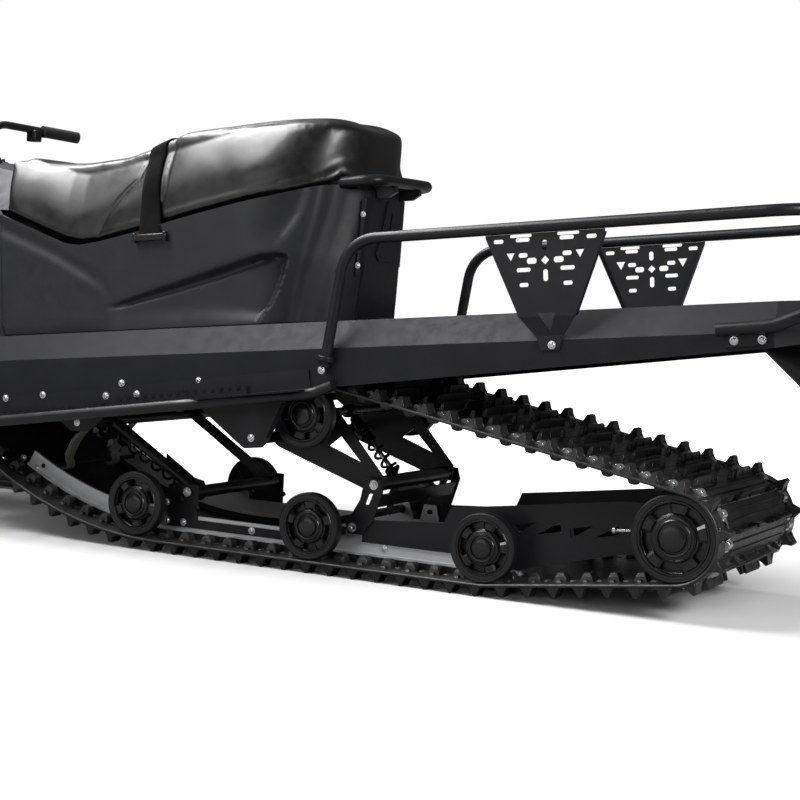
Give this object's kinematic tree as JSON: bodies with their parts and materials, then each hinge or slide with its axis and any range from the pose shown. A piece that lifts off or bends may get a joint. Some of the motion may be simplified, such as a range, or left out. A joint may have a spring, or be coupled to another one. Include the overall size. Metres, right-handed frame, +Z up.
{
  "type": "utility snowmobile",
  "caption": "Wide-track utility snowmobile with a two-up seat, raised rear luggage rack, slide-rail skid with idler wheels and a pair of steered skis.",
  "frame": {"origin": "on the ground, midway along the machine and on its centre line", "axes": "+X to the rear, +Y to the machine's right-hand side, +Z up"},
  "size_m": [3.36, 1.13, 1.44],
  "materials": {
    "track_rubber": "matt moulded rubber",
    "alloy": "brushed, clear anodised",
    "slider_plastic": "waxy plastic",
    "wheel_plastic": "moulded, lightly worn",
    "black_steel": "black powder coat, fine texture",
    "tunnel_black": "black powder coat, satin",
    "panel_plastic": "grained moulded plastic",
    "seat_vinyl": "black vinyl",
    "webbing": "woven webbing",
    "black_webbing": "woven webbing",
    "flap_rubber": "matt",
    "screen": "smoked",
    "lamp": "clear lens",
    "cast_metal": "plain casting",
    "ski_plastic": "moulded",
    "grip_rubber": "soft"
  },
  "bodies": {
    "chassis": {"track": "track_rubber", "rail_left": "alloy", "rail_right": "alloy", "slider_left": "slider_plastic", "slider_right": "slider_plastic", "arm_mount_left": "black_steel", "arm_mount_right": "black_steel", "idler_wheels_front": "wheel_plastic", "idler_wheels_middle": "wheel_plastic", "idler_wheels_back": "wheel_plastic", "idler_wheels_rear": "wheel_plastic", "carrier_wheels": "wheel_plastic", "drive_axle": "wheel_plastic", "rear_plate_left": "black_steel", "rear_plate_right": "black_steel", "rear_arm": "black_steel", "rear_link": "black_steel", "front_arm": "black_steel", "skid_shock_front": "black_steel", "skid_shock_rear": "black_steel", "limiter_straps": "webbing", "tunnel": "tunnel_black", "running_board_left": "black_steel", "running_board_right": "black_steel", "arm_brackets_left": "black_steel", "arm_brackets_right": "black_steel", "rack_tube": "black_steel", "rack_plate_left": "black_steel", "rack_plate_right": "black_steel", "rear_bumper": "black_steel", "snow_flap": "flap_rubber", "tow_hitch": "black_steel", "seat_base": "panel_plastic", "seat_cushion": "seat_vinyl", "seat_strap": "black_webbing", "seat_rear_frame": "black_steel", "grab_bar": "black_steel", "hood": "panel_plastic", "side_panel_left": "panel_plastic", "side_panel_right": "panel_plastic", "belly_pan": "panel_plastic", "console": "panel_plastic", "engine_block": "cast_metal", "windshield": "screen", "front_bumper": "black_steel", "headlights": "lamp", "front_arms_left": "black_steel", "front_arms_right": "black_steel", "front_shock_left": "black_steel", "front_shock_right": "black_steel"},
    "steering": {"handlebar": "black_steel", "hand_grips": "grip_rubber"},
    "spindle_left": {"spindle_left": "black_steel"},
    "spindle_right": {"spindle_right": "black_steel"},
    "ski_left": {"ski_left": "ski_plastic"},
    "ski_right": {"ski_right": "ski_plastic"}
  },
  "joints": [
    {"name": "steer", "type": "hinge", "parent": "chassis", "child": "steering", "pos_m": [-0.965, 0, 1.065], "axis": [0.3909, 0, 0.9204], "range_deg": [-32, 32]},
    {"name": "kingpin_left", "type": "hinge", "parent": "chassis", "child": "spindle_left", "pos_m": [-1.15, -0.48, 0.092], "axis": [0.342, 0, 0.9397], "range_deg": [-26, 26]},
    {"name": "ski_pitch_left", "type": "hinge", "parent": "spindle_left", "child": "ski_left", "pos_m": [-1.15, -0.48, 0.092], "axis": [0, 1, 0], "range_deg": [-12, 12]},
    {"name": "kingpin_right", "type": "hinge", "parent": "chassis", "child": "spindle_right", "pos_m": [-1.15, 0.48, 0.092], "axis": [0.342, 0, 0.9397], "range_deg": [-26, 26]},
    {"name": "ski_pitch_right", "type": "hinge", "parent": "spindle_right", "child": "ski_right", "pos_m": [-1.15, 0.48, 0.092], "axis": [0, 1, 0], "range_deg": [-12, 12]}
  ],
  "couplings": [
    {"joint": "kingpin_left", "follows": "steer", "ratio": 0.8},
    {"joint": "kingpin_right", "follows": "steer", "ratio": 0.8}
  ]
}
